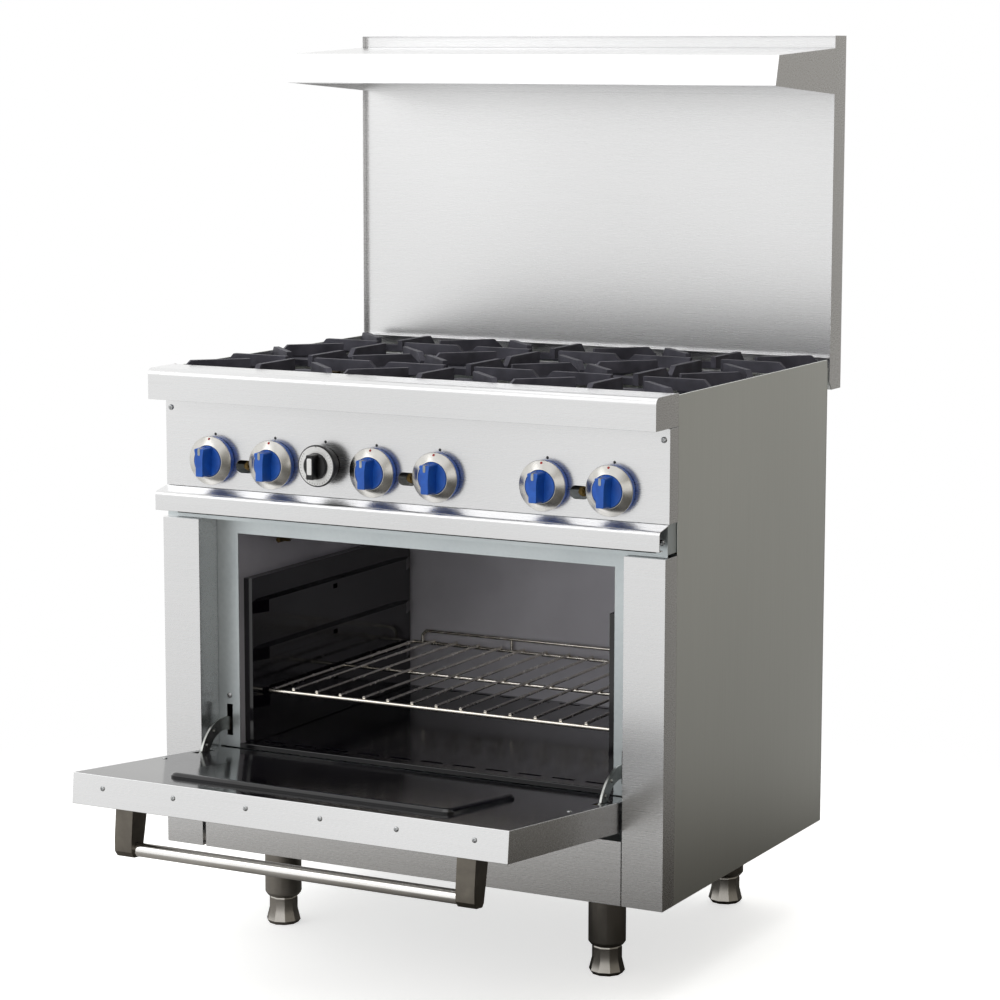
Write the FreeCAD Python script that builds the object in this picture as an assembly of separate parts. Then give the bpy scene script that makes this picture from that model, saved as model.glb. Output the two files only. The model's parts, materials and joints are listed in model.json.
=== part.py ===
import FreeCAD, Part
import math
import os

os.makedirs("parts", exist_ok=True)

V = FreeCAD.Vector

# Body, worked out with Y = 0 at the front of the posts and Z = 0 at the bottom of the body
half_w = 457.2            # half of the 36 inch width
post_w = 70.0             # width of a front post
kick_gap = 4.5            # the kick panel leaves a wider gap beside the left post
body_back = 645.0         # rear face of the body
hob_z = 798.0             # top edge of the side panels
leg_h = 150.0             # floor to body
strip_back = 43.0         # depth of the front posts' outer sides; the side panels start behind
sheet = 1.5               # general sheet thickness
panel_y = 13.0            # front face of the control panel
panel_low = 603.0
panel_top = 749.0
rail_y = -38.0            # front face of the landing ledge
rail_low = 750.0
rail_top = 801.0
rail_r = 11.0

# Door and its pivot, drawn shut and then turned open
door_half = 383.0
door_low = 107.0
door_top = 545.0
door_front = 3.0
door_back = 52.0
pivot_y = 33.0
pivot_z = 143.0
door_open = 84.0          # degrees
hinge_x = 366.0           # middle of each hinge arm
arm_outer = 72.0          # the arm is a curved plate round the pivot
arm_inner = 50.0
bar_out = 66.0            # door face to the middle of the handle bar
bar_r = 11.0
bar_z = 502.0             # its height on the shut door
raised_half = 250.0       # raised panel pressed into the door's oven side
raised_low = 264.0
raised_top = 482.0

# Oven
frame_y = 54.0            # front face of the oven's front frame
cavity_half = 346.0
cavity_back = 606.5
floor_z = 167.0
cavity_top = 523.0
guide_x = 330.0           # inner face of the side guides
guide_levels = (246.5, 326.5, 406.5)
rack_z = 250.3
rack_front = 112.0
rack_back = 598.0
rack_half = 322.0
rack_pitch = 45.5
rack_grid_x = -4.5        # the wires stand a little left of the middle
rack_stop_half = 302.0    # half length of the raised rail at the back of the rack

# Hob
column_x = (-302.4, 0.0, 302.4)
row_y = (187.7, 490.1)
grate_side = 301.4
grate_z = 774.7           # underside of a grate's ring
grate_top = 806.5         # top of its blades
ledge_z = 774.3           # top of the ledges that carry the grates
valve_column_x = (-304.8, 0.0, 304.8)
valve_step = 57.5         # each valve's distance from its column's centre
valve_z = 650.0
thermostat_x = -152.4
thermostat_z = 656.0
pilot_z = 642.0           # height of the pilot screws and their slots
pilot_y = 300.0           # the pilot flames stand between the two rows of burners
jet_z = 692.0             # height of the gas jets and mixer tubes
manifold_y = 92.0
manifold_r = 16.7
inlet_x = 408.0
inlet_r = 13.3
inlet_end = 690.0

# Flue outlet into the riser
flue_out_low = 749.0
flue_out_top = 770.0

# Riser and shelf
riser_y = 655.0
riser_back = 704.0
riser_low = 745.0
riser_top = 1339.0
shelf_front_top = (415.0, 1307.0)
shelf_front_low = (402.0, 1258.0)
shelf_back_top = 1318.0
shelf_back_low = 1242.0

# Legs
leg_x = 305.0
leg_rows = (120.0, 590.0)
leg_r = 31.0
leg_low = -102.0
foot_stem_r = 12.0

# Pull-out tray under the burners
tray_lip_y = -22.0
tray_low = 565.0
tray_lip_top = 597.0
tray_lip_r = 7.0
tray_half = 430.0
tray_back = 600.0

# The middle of the whole range's depth, door down, goes to Y = 0
lever = door_top - pivot_z
reach = (pivot_y - door_front) * math.cos(math.radians(door_open))
reach = reach + lever * math.sin(math.radians(door_open))
shift_y = -((pivot_y - reach) + riser_back) / 2.0


def box(x0, x1, y0, y1, z0, z1):
    return Part.makeBox(x1 - x0, y1 - y0, z1 - z0, V(x0, y0, z0))


def rod(a, b, r):
    start = V(*a)
    line = V(*b) - start
    return Part.makeCylinder(r, line.Length, start, line)


def join(shapes):
    whole = shapes[0]
    if len(shapes) > 1:
        whole = shapes[0].multiFuse(shapes[1:])
    return whole.removeSplitter()


def prism_x(points, x0, x1):
    """Closed Y-Z outline pushed along X."""
    loop = [V(x0, y, z) for y, z in points]
    face = Part.Face(Part.makePolygon(loop + [loop[0]]))
    return face.extrude(V(x1 - x0, 0, 0))


def prism_z(points, z0, z1):
    loop = [V(x, y, z0) for x, y in points]
    face = Part.Face(Part.makePolygon(loop + [loop[0]]))
    return face.extrude(V(0, 0, z1 - z0))


def lathe(profile, centre, axis):
    """Closed profile of (radius, height) turned about an axis from a centre."""
    loop = [V(r, 0, h) for r, h in profile]
    face = Part.Face(Part.makePolygon(loop + [loop[0]]))
    solid = face.revolve(V(0, 0, 0), V(0, 0, 1), 360)
    turn = FreeCAD.Rotation(V(0, 0, 1), V(*axis))
    solid.Placement = FreeCAD.Placement(V(*centre), turn)
    return solid


def bent_tube(points, r, wall=0.0):
    outer = []
    inner = []
    for a, b in zip(points[:-1], points[1:]):
        outer.append(rod(a, b, r))
        inner.append(rod(a, b, r - wall))
    for p in points[1:-1]:
        outer.append(Part.makeSphere(r, V(*p)))
        inner.append(Part.makeSphere(r - wall, V(*p)))
    tube = join(outer)
    if wall > 0.0:
        tube = tube.cut(join(inner))
    return tube


def mirror_x(shape):
    return shape.mirror(V(0, 0, 0), V(1, 0, 0))


def both_sides(shape):
    return [shape, mirror_x(shape)]


def keep(name, shapes):
    """Moves the solids to the shared frame and writes one file."""
    if not isinstance(shapes, list):
        shapes = [shapes]
    solids = []
    for shape in shapes:
        solids.extend(shape.Solids)
    group = solids[0]
    if len(solids) > 1:
        group = Part.makeCompound(solids)
    group = group.copy()
    group.translate(V(0, shift_y, leg_h))
    group.exportStep("parts/" + name + ".step")


def opened(shape):
    turned = shape.copy()
    turned.rotate(V(0, pivot_y, pivot_z), V(1, 0, 0), door_open)
    return turned


# ---- body ----

def side_panel():
    skin = box(half_w - sheet, half_w, strip_back + 0.5, 643.0, 0.0, hob_z)
    hem = box(half_w - 3.0, half_w, strip_back + 0.5, 643.0, hob_z - 10.0, hob_z)
    low = box(half_w - 20.0, half_w, 60.0, 643.0, 0.0, sheet)
    rear = box(half_w - 20.0, half_w, 641.5, 643.0, 0.0, hob_z - 14.0)
    panel = join([skin, hem, low, rear])
    return panel


def back_panel():
    plate = box(-half_w, half_w, 643.5, body_back, 0.0, hob_z - 14.0)
    plate = plate.cut(rod((inlet_x, 640, valve_z), (inlet_x, 650, valve_z), inlet_r + 5.7))
    plate = plate.cut(box(-110, 110, 640, 650, flue_out_low, flue_out_top))
    for z in (60.0, 75.0, 90.0):
        for x in range(-300, 301, 100):
            plate = plate.cut(box(x - 30.0, x + 30.0, 640, 650, z - 2.5, z + 2.5))
    return plate


def leg_spots():
    return [(sx * leg_x, y) for y in leg_rows for sx in (-1, 1)]


def base_frame():
    pan = box(-453.0, 453.0, 60.0, 640.0, 2.0, 5.0)
    pieces = [pan]
    for y in leg_rows:
        pieces.append(box(-453.0, 453.0, y - 34.0, y - 31.0, 2.0, 32.0))
        pieces.append(box(-453.0, 453.0, y + 31.0, y + 34.0, 2.0, 32.0))
    pieces.append(box(450.0, 453.0, 60.0, 640.0, 2.0, 32.0))
    pieces.append(box(-453.0, -450.0, 60.0, 640.0, 2.0, 32.0))
    frame = join(pieces)
    for x, y in leg_spots():
        frame = frame.cut(rod((x, y, 0), (x, y, 10), 8.2))
    for x in range(-240, 241, 80):
        for y in (240.0, 340.0, 440.0):
            frame = frame.cut(box(x - 25.0, x + 25.0, y - 4.0, y + 4.0, 0, 8))
    return frame


def front_post():
    inner = half_w - post_w
    face = box(inner, half_w, 0.0, sheet, 0.0, 551.0)
    outer = box(half_w - sheet, half_w, 0.0, strip_back, 0.0, 551.0)
    cheek = box(inner, inner + sheet, 0.0, 53.6, 0.0, 551.0)
    strip = box(inner, inner + 12.0, 52.1, 53.6, 0.0, 551.0)
    cap = box(inner, half_w, 0.0, 35.0, 549.5, 551.0)
    post = join([face, outer, cheek, strip, cap])
    post = post.cut(rod((inner - 5, pivot_y, pivot_z), (inner + 5, pivot_y, pivot_z), 5.06))
    return post


def kick_panel():
    right = half_w - post_w - 1.5
    left = -right + kick_gap
    face = box(left, right, 0.0, sheet, 0.0, 103.0)
    low = box(left, right, 0.0, 30.0, 0.0, sheet)
    stiff = box(left, right, 0.0, 14.0, 84.0, 85.5)
    return join([face, low, stiff])


def rounded_rail(inset):
    y0 = rail_y + inset
    z1 = rail_top - inset
    r = rail_r - inset
    start = V(0, 35.0, z1)
    corner_a = V(0, y0 + r, z1)
    mid = V(0, y0 + r - r * math.sqrt(0.5), z1 - r + r * math.sqrt(0.5))
    corner_b = V(0, y0, z1 - r)
    low_front = V(0, y0, rail_low + inset)
    low_back = V(0, 35.0, rail_low + inset)
    edges = [Part.makeLine(start, corner_a), Part.Arc(corner_a, mid, corner_b).toShape()]
    edges.append(Part.makeLine(corner_b, low_front))
    edges.append(Part.makeLine(low_front, low_back))
    edges.append(Part.makeLine(low_back, start))
    return Part.Face(Part.Wire(edges))


def front_rail():
    outer = rounded_rail(0.0).extrude(V(2 * half_w, 0, 0))
    outer.translate(V(-half_w, 0, 0))
    inner = rounded_rail(2.0).extrude(V(2 * half_w - 4.0, 0, 0))
    inner.translate(V(-half_w + 2.0, 0, 0))
    hollow = inner.fuse(box(-half_w + 2.0, half_w - 2.0, panel_y + 2.0, 40.0, rail_low - 5.0, rail_top - 2.0))
    ends = both_sides(box(half_w - sheet, half_w, 30.0, strip_back, rail_low, rail_top))
    return join([outer.cut(hollow)] + ends)


def stadium(x, z, length, height):
    r = height / 2.0
    mid = box(x - length / 2.0 + r, x + length / 2.0 - r, 5.0, 22.0, z - r, z + r)
    ends = [rod((x + s * (length / 2.0 - r), 5, z), (x + s * (length / 2.0 - r), 22, z), r) for s in (-1, 1)]
    return join([mid] + ends)


def valve_spots():
    return [x + s * valve_step for x in valve_column_x for s in (-1, 1)]


def control_panel():
    face = box(-half_w, half_w, panel_y, panel_y + sheet, panel_low, panel_top)
    ends = both_sides(box(half_w - sheet, half_w, panel_y, strip_back, panel_low, panel_top))
    low = box(-half_w, half_w, panel_y, panel_y + 11.5, panel_low, panel_low + sheet)
    panel = join([face, low] + ends)
    stems = [(x, valve_z) for x in valve_spots()] + [(thermostat_x, thermostat_z)]
    for x, z in stems:
        panel = panel.cut(rod((x, panel_y - 5, z), (x, panel_y + 5, z), 6.0))
    for x in valve_column_x:
        panel = panel.cut(stadium(x, pilot_z, 34.0, 21.0))
    return panel


def tray_frame():
    cross = box(-455.0, 455.0, 12.0, 50.0, 556.0, 557.5)
    lip = box(-455.0, 455.0, 12.0, 13.5, 551.6, 557.5)
    pieces = [cross, lip]
    for s in (-1, 1):
        tab = box(436.0, 455.0, 12.0, 13.5, 551.6, 602.0)
        guide = box(418.0, 455.0, 45.0, 630.0, 562.0, 563.5)
        web = box(453.5, 455.0, 12.0, 630.0, 556.0, 602.0)
        step = box(418.0, 419.5, 45.0, 50.0, 556.0, 563.5)
        for piece in (tab, guide, web, step):
            pieces.append(piece if s > 0 else mirror_x(piece))
    frame = join(pieces)
    return frame.cut(rod((-446, 44, 550), (-446, 44, 570), 5.5))


def oven_front_frame():
    plate = box(-452.0, 452.0, frame_y, frame_y + sheet, 161.0, 551.0)
    plate = plate.cut(box(-cavity_half, cavity_half, 50, 60, 165.2, cavity_top))
    pieces = [plate]
    pieces.append(box(-384.5, 384.5, frame_y, 75.5, 161.0, 162.5))
    pieces.append(box(-386.0, 386.0, 74.0, 75.5, 36.0, 162.5))
    for s in (-1, 1):
        cheek = box(384.5, 386.0, frame_y, 75.5, 36.0, 162.5)
        side = box(384.5, 452.0, frame_y, frame_y + sheet, 36.0, 161.5)
        for piece in (cheek, side):
            pieces.append(piece if s > 0 else mirror_x(piece))
    frame = join(pieces)
    for slot in both_sides(box(hinge_x - 5.5, hinge_x + 5.5, 50.0, 60.0, 180.0, 233.0)):
        frame = frame.cut(slot)
    return frame.cut(rod((-446, 50, 90), (-446, 60, 90), 5.5))


# ---- oven ----

def oven_liner():
    outer = box(-cavity_half - sheet, cavity_half + sheet, 56.0, cavity_back + sheet, 36.0, cavity_top + sheet)
    inner = box(-cavity_half, cavity_half, 50.0, cavity_back, 30.0, cavity_top)
    shell = outer.cut(inner)
    shell = shell.cut(box(-400, 400, 50.0, 76.2, 30.0, 163.2))
    ledges = both_sides(box(cavity_half - 14.0, cavity_half, 76.2, cavity_back, 163.6, 165.1))
    shell = join([shell] + ledges)
    shell = shell.cut(box(-108, 108, 600, 612, 492, 515))
    shell = shell.cut(rod((-360, 110, 90), (-340, 110, 90), 7.0))
    return shell


def oven_floor():
    plate = box(-345.4, 345.4, 52.6, 606.0, 165.5, floor_z)
    lip = box(-345.4, 345.4, 52.6, 53.7, 161.5, floor_z)
    bead = rod((-345.4, 54.4, 167.4), (345.4, 54.4, 167.4), 1.6)
    cut = box(-350, 350, 54.3, 60, 160, 165.45)
    vents = []
    for y in (90.0, 590.0):
        for x in range(-300, 301, 60):
            vents.append(box(x - 20.0, x + 20.0, y - 4.0, y + 4.0, 160, 170))
    floor = join([plate, lip, bead]).cut(cut)
    return floor.cut(Part.makeCompound(vents))


def side_guide():
    wall = box(guide_x, guide_x + 1.2, 70.0, 600.0, 168.0, 446.0)
    top = box(guide_x, cavity_half - 0.2, 70.0, 600.0, 444.8, 446.0)
    low = box(guide_x, cavity_half - 0.2, 70.0, 600.0, 168.0, 169.2)
    front = box(guide_x, cavity_half - 0.2, 70.0, 71.2, 168.0, 446.0)
    pieces = [wall, top, low, front]
    for z in guide_levels:
        rib = prism_z([(0, 0), (12, 34), (12, 496), (0, 530)], z - 20.0, z)
        rib.translate(V(guide_x - 12.0, 70.0, 0))
        rib = rib.mirror(V(guide_x - 6.0, 0, 0), V(1, 0, 0))
        inner = box(guide_x - 10.8, guide_x + 2, 106.0, 564.0, z - 18.8, z - 1.2)
        notch = box(guide_x - 15, guide_x - 6, 311.0, 325.0, z - 14.0, z - 6.0)
        pieces.append(rib.cut(inner).cut(notch))
    return join(pieces)


def insulation():
    block = box(-384.0, 384.0, 122.0, 641.0, 36.0, 550.0)
    block = block.fuse(box(-360.0, 360.0, 58.0, 122.0, 526.0, 550.0))
    block = block.cut(box(-349.0, 349.0, 50.0, 609.5, 30.0, 526.0))
    block = block.cut(box(-124.0, 124.0, 600.0, 650.0, 484.0, 560.0))
    return block


def oven_burner():
    pipe = 18.0
    z = 88.0
    path = [(-110, 540, z), (-110, 150, z), (110, 150, z), (110, 540, z)]
    tube = bent_tube(path, pipe, 2.5)
    caps = [rod((s * 110, 538, z), (s * 110, 544, z), pipe) for s in (-1, 1)]
    mixer = rod((-232, 110, 90), (-128, 148, 88), 15.0).cut(rod((-233, 109, 90), (-128, 148, 88), 12.0))
    feet = [box(s * 110 - 12, s * 110 + 12, y - 3, y + 3, 5.2, 72) for s in (-1, 1) for y in (200, 500)]
    burner = join([tube, mixer] + caps + feet)
    ports = []
    for s in (-1, 1):
        for k in range(16):
            y = 180.0 + 22.0 * k
            ports.append(rod((s * 110, y, 95), (s * 110, y, 110), 1.6))
    burner = burner.cut(Part.makeCompound(ports))
    plate = box(-250, 250, 140, 560, 128.0, 129.5)
    wings = [box(-345.5, -250, y - 20, y + 20, 128.0, 129.5) for y in (200, 500)]
    wings = wings + [mirror_x(w) for w in wings]
    rims = [box(-250, 250, y, y + 1.5, 118.0, 129.5) for y in (140.0, 558.5)]
    baffle = join([plate] + wings + rims)
    return [burner, baffle]


def oven_rack():
    side_r = 3.3
    wire_r = 2.6
    wires = []
    for s in (-1, 1):
        wires.append(rod((s * rack_half, rack_front, rack_z), (s * rack_half, rack_back, rack_z), side_r))
    for y, r in ((rack_front, 3.6), (352.0, 3.3), (rack_back, 3.3)):
        wires.append(rod((-rack_half, y, rack_z), (rack_half, y, rack_z), r))
    for s in (-1, 1):
        for y in (rack_front, rack_back):
            wires.append(Part.makeSphere(3.6 if y == rack_front else 3.3, V(s * rack_half, y, rack_z)))
    for k in range(-6, 7):
        x = rack_grid_x + k * rack_pitch
        wires.append(rod((x, rack_front + 1.0, rack_z + 5.2), (x, rack_back, rack_z + 5.2), wire_r))
    rail_z = rack_z + 22.0
    edge = rack_stop_half - 8.0
    for s in (-1, 1):
        foot_end = (s * rack_stop_half, rack_back, rack_z)
        knee = (s * rack_stop_half, rack_back, rail_z - 8.0)
        bend = (s * edge, rack_back, rail_z)
        wires.append(rod(foot_end, knee, 3.0))
        wires.append(Part.makeSphere(3.0, V(*knee)))
        wires.append(rod(knee, bend, 3.0))
        wires.append(Part.makeSphere(3.0, V(*bend)))
    wires.append(rod((-edge, rack_back, rail_z), (edge, rack_back, rail_z), 3.0))
    for x in (-120.0, 120.0):
        wires.append(rod((x, rack_back, rack_z), (x, rack_back, rail_z), 2.6))
    return join(wires)


# ---- gas train ----

def gas_manifold():
    main = rod((-430, manifold_y, valve_z), (inlet_x, manifold_y, valve_z), manifold_r)
    corner = Part.makeSphere(manifold_r + 3.0, V(inlet_x, manifold_y, valve_z))
    run = rod((inlet_x, manifold_y, valve_z), (inlet_x, inlet_end, valve_z), inlet_r)
    cap = rod((-434, manifold_y, valve_z), (-418, manifold_y, valve_z), manifold_r + 2.5)
    collar = rod((inlet_x, 600, valve_z), (inlet_x, 648, valve_z), 17.0)
    body = join([main, corner, run, cap, collar])
    bores = [rod((-415, manifold_y, valve_z), (inlet_x, manifold_y, valve_z), 13.0)]
    bores.append(rod((inlet_x, manifold_y, valve_z), (inlet_x, inlet_end + 5, valve_z), 10.4))
    return body.cut(join(bores))


def burner_valve(x):
    y_low = manifold_y - manifold_r - 0.2
    body = box(x - 12, x + 12, 24, 62, valve_z - 13, valve_z + 13)
    neck = rod((x, panel_y + 5.5, valve_z), (x, 24.5, valve_z), 9.0)
    nipple = rod((x, 60, valve_z), (x, y_low, valve_z), 8.0)
    spud = rod((x, 46, valve_z + 12), (x, 46, jet_z), 5.5)
    jet = rod((x, 46, jet_z), (x, 70, jet_z), 5.0)
    ball = Part.makeSphere(6.2, V(x, 46, jet_z))
    valve = join([body, neck, nipple, spud, jet, ball])
    return valve.cut(rod((x, 10, valve_z), (x, 58, valve_z), 4.06))


def thermostat_body():
    x = thermostat_x
    z = thermostat_z
    body = box(x - 26, x + 26, 22, 68, valve_z - 30, valve_z + 24)
    neck = rod((x, panel_y + 5.0, z), (x, 22.5, z), 10.0)
    nipple = rod((x, 66, valve_z), (x, manifold_y - manifold_r - 0.2, valve_z), 9.0)
    outlet = rod((x, 44, valve_z - 38), (x, 44, valve_z - 28), 7.0)
    body = join([body, neck, nipple, outlet])
    body = body.cut(rod((x, 10, z), (x, 58, z), 4.06))
    return body.cut(rod((x, 44, valve_z - 40), (x, 44, valve_z - 30), 4.4))


def burner_valves():
    valves = [burner_valve(x) for x in valve_spots()]
    return valves + [thermostat_body()]


def top_burner(x, y, tube_x):
    head = lathe([(16, 0), (46, 0), (50, 6), (50, 14), (44, 20), (16, 20)], (x, y, 748), (0, 0, 1))
    hub = rod((x, y, 738), (x, y, 749), 22.0)
    z = jet_z
    start = 76.0
    turn = y - 40.0
    path = [(tube_x, start, z), (tube_x, turn, z + 16.0), (x, y, 736.0)]
    outer = bent_tube(path, 16.0)
    bell = lathe([(15, 0), (22, 0), (22, 8), (15.9, 26), (15, 26)], (tube_x, start, z), (0, 1, 0))
    hollow = bent_tube([(tube_x, start - 2, z)] + path[1:], 13.0)
    body = join([outer, bell, hub]).cut(hollow)
    return join([body, head])


def burner_cap(x, y):
    outline = [(17, 0), (43, 0), (47, 4), (47, 9), (39, 14), (20, 14), (17, 11)]
    cap = lathe(outline, (x, y, 768.3), (0, 0, 1))
    slots = []
    for k in range(24):
        a = math.radians(15.0 * k)
        c = V(math.cos(a), math.sin(a), 0)
        start = V(x, y, 773.0) + c * 36.0
        slots.append(Part.makeCylinder(1.5, 20.0, start, c))
    return cap.cut(Part.makeCompound(slots))


def top_burners():
    pieces = []
    for x, valve_x in zip(column_x, valve_column_x):
        for y, side in zip(row_y, (1, -1)):
            pieces.append(top_burner(x, y, valve_x + side * valve_step))
            pieces.append(burner_cap(x, y))
    return pieces


def pilot_set(x):
    z = pilot_z
    body = rod((x, 20, z), (x, 66, z), 5.5)
    nut = rod((x, 26, z), (x, 34, z), 8.0)
    screw = rod((x, 17.5, z), (x, 20.5, z), 3.2)
    stub = rod((x, 60, z), (x, 60, 664), 4.0)
    path = [(x, 60, 664), (x, 60, 708), (x, pilot_y, 716), (x, pilot_y, 760)]
    tube = bent_tube(path, 2.6)
    tip = lathe([(0, 0), (6, 0), (6, 8), (9, 12), (9, 16), (0, 16)], (x, pilot_y, 756), (0, 0, 1))
    return join([body, nut, screw, stub, tube, tip])


def gas_tubing():
    pieces = [pilot_set(x) for x in valve_column_x]
    path = [(thermostat_x, 44, 618), (thermostat_x, 44, 606), (-446, 44, 606), (-446, 44, 90)]
    path = path + [(-446, 110, 90), (-236, 110, 90)]
    pieces.append(bent_tube(path, 4.0))
    bulb = rod((-328, 150, 500), (-328, 420, 500), 4.0)
    clips = [box(-345.8, -324, y - 4, y + 4, 494, 495.5) for y in (180, 390)]
    pieces.append(join([bulb, box(-345.8, -344.5, 176, 394, 490, 505)] + clips
                       + [box(-330, -326, y - 4, y + 4, 494, 498) for y in (180, 390)]))
    return pieces


def flue_duct():
    outer = box(-120, 120, 609.7, 643.2, 488, flue_out_top + 3.0)
    inner = box(-118.5, 118.5, 611.2, 641.7, 489.5, flue_out_top + 1.5)
    duct = outer.cut(inner)
    duct = duct.cut(box(-108, 108, 605, 615, 492, 515))
    duct = duct.cut(box(-110, 110, 640, 650, flue_out_low, flue_out_top))
    return duct


# ---- hob top ----

def grate_rails():
    low = ledge_z - 2.8
    pieces = []
    for x in (-152.4, 152.4):
        pieces.append(box(x - 9, x + 9, 36, 609, low, ledge_z))
        pieces.append(box(x - 1.5, x + 1.5, 36, 609, 745.0, ledge_z))
    for s in (-1, 1):
        ledge = box(433.0, 455.4, 36.0, 641.0, low, ledge_z)
        web = box(452.8, 455.4, 36.0, 641.0, 752.0, ledge_z)
        rear = box(121.0, 455.4, 609.0, 641.0, low, ledge_z)
        for piece in (ledge, web, rear):
            pieces.append(piece if s > 0 else mirror_x(piece))
    pieces.append(box(-455.4, 455.4, 35.6, 46.0, low, ledge_z))
    pieces.append(box(-455.4, 455.4, 35.6, 38.0, 752.0, ledge_z))
    pieces.append(box(-455.4, 455.4, 600.0, 609.0, low, ledge_z))
    return join(pieces)


def blade_outline(inner, outer):
    """Radius and height of a blade: square at its inner end, sloped down at its outer end."""
    low = grate_z + 0.8
    free = grate_z + 12.3
    outline = [(inner, free), (inner, grate_top), (outer - 14.0, grate_top)]
    outline = outline + [(outer, grate_top - 14.0), (outer, low), (outer - 12.0, low)]
    return outline + [(outer - 18.0, free)]


def grate(cx, cy):
    half = grate_side / 2.0
    bar = 15.0
    outer = box(-half, half, -half, half, grate_z, grate_z + 11.3)
    inner = box(-half + bar, half - bar, -half + bar, half - bar, grate_z - 5, grate_z + 20)
    blades = []
    for k in range(8):
        straight = k % 2 == 0
        ends = (28.0, 146.0) if straight else (88.0, 202.0)
        loop = [V(r, -4.8, z) for r, z in blade_outline(*ends)]
        blade = Part.Face(Part.makePolygon(loop + [loop[0]])).extrude(V(0, 9.6, 0))
        blade.rotate(V(0, 0, 0), V(0, 0, 1), 45.0 * k)
        blades.append(blade)
    casting = join([outer.cut(inner)] + blades)
    casting.translate(V(cx, cy, 0))
    return casting


# ---- riser ----

def riser_side():
    points = [(riser_y, riser_low + 12.0), (riser_y + 8.0, riser_low), (riser_back, riser_low)]
    points = points + [(riser_back, riser_top), (riser_y, riser_top)]
    return prism_x(points, half_w - sheet, half_w)


def riser_shell():
    pieces = both_sides(riser_side())
    pieces.append(box(-half_w, half_w, riser_back - sheet, riser_back, riser_low, riser_top))
    pieces.append(box(-half_w, half_w, riser_y, riser_back, riser_top - sheet, riser_top))
    pieces.append(box(-half_w, half_w, 690.0, riser_back, riser_low, riser_low + sheet))
    for s in (-1, 1):
        flange = box(440.0, half_w, 666.6, 668.1, riser_low, riser_top)
        pieces.append(flange if s > 0 else mirror_x(flange))
    shell = join(pieces)
    vents = [box(x - 22, x + 22, 676, 696, riser_top - 5, riser_top + 5) for x in range(-300, 301, 60)]
    shell = shell.cut(Part.makeCompound(vents))
    shell = shell.cut(box(-400, 400, 700, 710, riser_low - 5, riser_low + 5))
    return shell


def riser_front():
    edge = half_w - sheet - 0.2
    main = box(-edge, edge, 665.0, 666.5, 801.3, riser_top - sheet - 0.1)
    hem = box(-edge, edge, 665.0, 672.0, 801.3, 802.8)
    hem = hem.cut(box(430, 460, 666.5, 680, 800, 830))
    hem = hem.cut(box(-460, -430, 666.5, 680, 800, 830))
    low = box(-edge, edge, 665.0, 666.5, riser_low, 801.0)
    seat = box(-edge, edge, 647.0, 666.5, 799.5, 801.0)
    flash = join([low, seat]).cut(box(-110, 110, 640, 680, flue_out_low, flue_out_top))
    return [join([main, hem]), flash]


def shelf():
    y1 = riser_y
    fy, fz = shelf_front_top
    ly, lz = shelf_front_low
    outline = [(fy, fz), (ly, lz), (y1, shelf_back_low), (y1, shelf_back_top)]
    plate = prism_x(outline, half_w - sheet, half_w)
    ends = both_sides(plate)
    top = prism_x([(fy, fz), (fy, fz - sheet), (y1, shelf_back_top - sheet), (y1, shelf_back_top)],
                  -half_w, half_w)
    lip = prism_x([(fy, fz), (ly, lz), (ly + sheet, lz), (fy + sheet, fz - sheet)], -half_w, half_w)
    turn = prism_x([(ly, lz), (ly + 18.0, lz - 1.2), (ly + 18.0, lz + 0.3), (ly, lz + sheet)],
                   -half_w, half_w)
    back = box(-half_w, half_w, y1 - sheet, y1, shelf_back_low, shelf_back_top)
    return join(ends + [top, lip, turn, back])


# ---- legs ----

def leg(x, y):
    facets = 14
    ring = []
    for k in range(facets):
        a = 2.0 * math.pi * (k + 0.5) / facets
        ring.append((x + leg_r * math.cos(a), y + leg_r * math.sin(a)))
    body = prism_z(ring, leg_low, 1.8)
    cone = lathe([(0, 0), (26, 0), (32, 8), (33, 110), (0, 110)], (x, y, leg_low), (0, 0, 1))
    body = body.common(cone)
    stud = rod((x, y, 0), (x, y, 24), 8.0)
    nut = rod((x, y, 5.2), (x, y, 14), 14.0)
    leg_solid = join([body, stud, nut])
    return leg_solid.cut(rod((x, y, leg_low - 5), (x, y, -30), foot_stem_r + 0.06))


def foot(x, y):
    """Ten flats that flare out towards the floor, on a plain stem."""
    facets = 10
    stem = rod((x, y, -118), (x, y, -36), foot_stem_r)
    rings = []
    for r, z in ((23.0, leg_low - 0.6), (24.5, leg_low - 4.0), (24.5, -124.0), (29.5, -144.0), (25.0, -leg_h)):
        ring = []
        for k in range(facets):
            a = 2.0 * math.pi * (k + 0.5) / facets
            ring.append(V(x + r * math.cos(a), y + r * math.sin(a), z))
        rings.append(Part.makePolygon(ring + [ring[0]]))
    flare = Part.makeLoft(rings, True, True)
    return join([stem, flare])


# ---- door, drawn shut ----

def door_outer():
    shell = box(-door_half, door_half, door_front, door_back, door_low, door_top)
    hollow = box(-door_half + sheet, door_half - sheet, door_front + sheet, door_back + 5,
                 door_low + sheet, door_top - sheet)
    skin = shell.cut(hollow)
    for s in (-1, 1):
        skin = skin.cut(rod((s * 370, pivot_y, pivot_z), (s * 390, pivot_y, pivot_z), 7.0))
    return skin


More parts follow.
